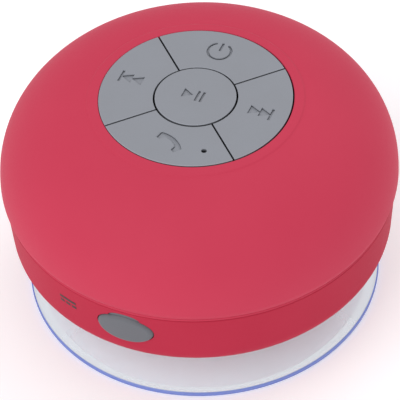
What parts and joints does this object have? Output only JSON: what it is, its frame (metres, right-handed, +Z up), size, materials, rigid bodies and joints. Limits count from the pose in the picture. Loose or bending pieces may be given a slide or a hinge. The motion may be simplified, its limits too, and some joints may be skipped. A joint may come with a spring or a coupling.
{
  "type": "shower speaker",
  "caption": "Round waterproof speaker with a domed rubber skin, a flat disc of press keys on top, a plugged charging port in its band and a clear suction cup below",
  "frame": {"origin": "centre of the suction cup's rim, in the plane the cup grips", "axes": "+Z up through the key disc, +Y to the power key, -Y to the charging port, +X to the next key"},
  "size_m": [0.086, 0.086, 0.052],
  "materials": {
    "red_cover": "soft-touch rubber skin",
    "red_base": "soft-touch coated moulding",
    "grey_silicone": "matte silicone",
    "clear_cup": "clear flexible vinyl",
    "black_abs": "textured moulding",
    "board": "solder mask",
    "steel": "plated",
    "ferrite": "sintered",
    "copper": "enamelled winding",
    "cone_paper": "pressed pulp",
    "black_rubber": "moulded",
    "spider_cloth": "impregnated cloth",
    "acoustic_cloth": "fine water-repelling mesh",
    "foil": "laminated pouch",
    "foam": "closed-cell foam",
    "wire": "wire insulation",
    "ivory_plastic": "connector nylon",
    "ribbon_film": "polyester film",
    "chip": "moulded package",
    "seal_rubber": "silicone seal"
  },
  "bodies": {
    "cup": {"suction_cup": "clear_cup", "cup_retainer": "steel"},
    "housing": {"dome_cover": "red_cover", "upper_shell": "black_abs", "base_housing": "red_base", "housing_seal": "seal_rubber", "housing_screws": "steel", "keypad_plate": "black_abs", "key_board": "board", "key_board_screws": "steel", "switch_bodies": "steel", "microphone": "steel", "mic_boot": "black_rubber", "main_board": "board", "board_screws": "steel", "radio_module": "steel", "board_chips": "chip", "charging_port": "steel", "charging_tongue": "black_abs", "battery_connector": "ivory_plastic", "speaker_connector": "ivory_plastic", "ribbon_connectors": "ivory_plastic", "board_ribbon": "ribbon_film", "battery_foam": "foam", "battery": "foil", "battery_leads": "wire", "speaker_leads": "wire", "speaker_gasket": "foam", "speaker_basket": "black_abs", "speaker_terminals": "board", "speaker_screws": "steel", "speaker_top_plate": "steel", "speaker_magnet": "ferrite", "speaker_yoke": "steel", "surround": "black_rubber", "spider": "spider_cloth", "grille_cloth": "acoustic_cloth"},
    "charging_plug": {"port_plug": "grey_silicone"},
    "driver_cone": {"cone": "cone_paper", "dust_cap": "cone_paper", "voice_coil": "copper"},
    "play_pause_key": {"key_play_pause": "grey_silicone"},
    "play_pause_plunger": {"switch_plunger_play_pause": "black_abs"},
    "power_key": {"key_power": "grey_silicone"},
    "power_plunger": {"switch_plunger_power": "black_abs"},
    "next_key": {"key_next": "grey_silicone"},
    "next_plunger": {"switch_plunger_next": "black_abs"},
    "previous_key": {"key_previous": "grey_silicone"},
    "previous_plunger": {"switch_plunger_previous": "black_abs"},
    "call_key": {"key_call": "grey_silicone"},
    "call_plunger": {"switch_plunger_call": "black_abs"}
  },
  "joints": [
    {"name": "cup_swivel", "type": "hinge", "parent": "cup", "child": "housing", "pos_m": [0, 0, 0.0128], "axis": [0, 0, 1], "continuous": true},
    {"name": "plug_pull", "type": "slide", "parent": "housing", "child": "charging_plug", "axis": [0, -1, 0], "range_m": [0, 0.02]},
    {"name": "cone_stroke", "type": "slide", "parent": "housing", "child": "driver_cone", "axis": [0, 0, 1], "range_m": [-0.0008, 0.0008], "stiffness_N_per_m": 1200, "deforming": ["surround", "spider"]},
    {"name": "play_pause_press", "type": "slide", "parent": "housing", "child": "play_pause_key", "axis": [0, 0, -1], "range_m": [0, 0.0004], "stiffness_N_per_m": 3000},
    {"name": "play_pause_switch", "type": "slide", "parent": "housing", "child": "play_pause_plunger", "axis": [0, 0, -1], "range_m": [0, 0.0004]},
    {"name": "power_press", "type": "slide", "parent": "housing", "child": "power_key", "axis": [0, 0, -1], "range_m": [0, 0.0004], "stiffness_N_per_m": 3000},
    {"name": "power_switch", "type": "slide", "parent": "housing", "child": "power_plunger", "axis": [0, 0, -1], "range_m": [0, 0.0004]},
    {"name": "next_press", "type": "slide", "parent": "housing", "child": "next_key", "axis": [0, 0, -1], "range_m": [0, 0.0004], "stiffness_N_per_m": 3000},
    {"name": "next_switch", "type": "slide", "parent": "housing", "child": "next_plunger", "axis": [0, 0, -1], "range_m": [0, 0.0004]},
    {"name": "previous_press", "type": "slide", "parent": "housing", "child": "previous_key", "axis": [0, 0, -1], "range_m": [0, 0.0004], "stiffness_N_per_m": 3000},
    {"name": "previous_switch", "type": "slide", "parent": "housing", "child": "previous_plunger", "axis": [0, 0, -1], "range_m": [0, 0.0004]},
    {"name": "call_press", "type": "slide", "parent": "housing", "child": "call_key", "axis": [0, 0, -1], "range_m": [0, 0.0004], "stiffness_N_per_m": 3000},
    {"name": "call_switch", "type": "slide", "parent": "housing", "child": "call_plunger", "axis": [0, 0, -1], "range_m": [0, 0.0004]}
  ],
  "couplings": [
    {"joint": "play_pause_switch", "follows": "play_pause_press", "ratio": 1},
    {"joint": "power_switch", "follows": "power_press", "ratio": 1},
    {"joint": "next_switch", "follows": "next_press", "ratio": 1},
    {"joint": "previous_switch", "follows": "previous_press", "ratio": 1},
    {"joint": "call_switch", "follows": "call_press", "ratio": 1}
  ]
}
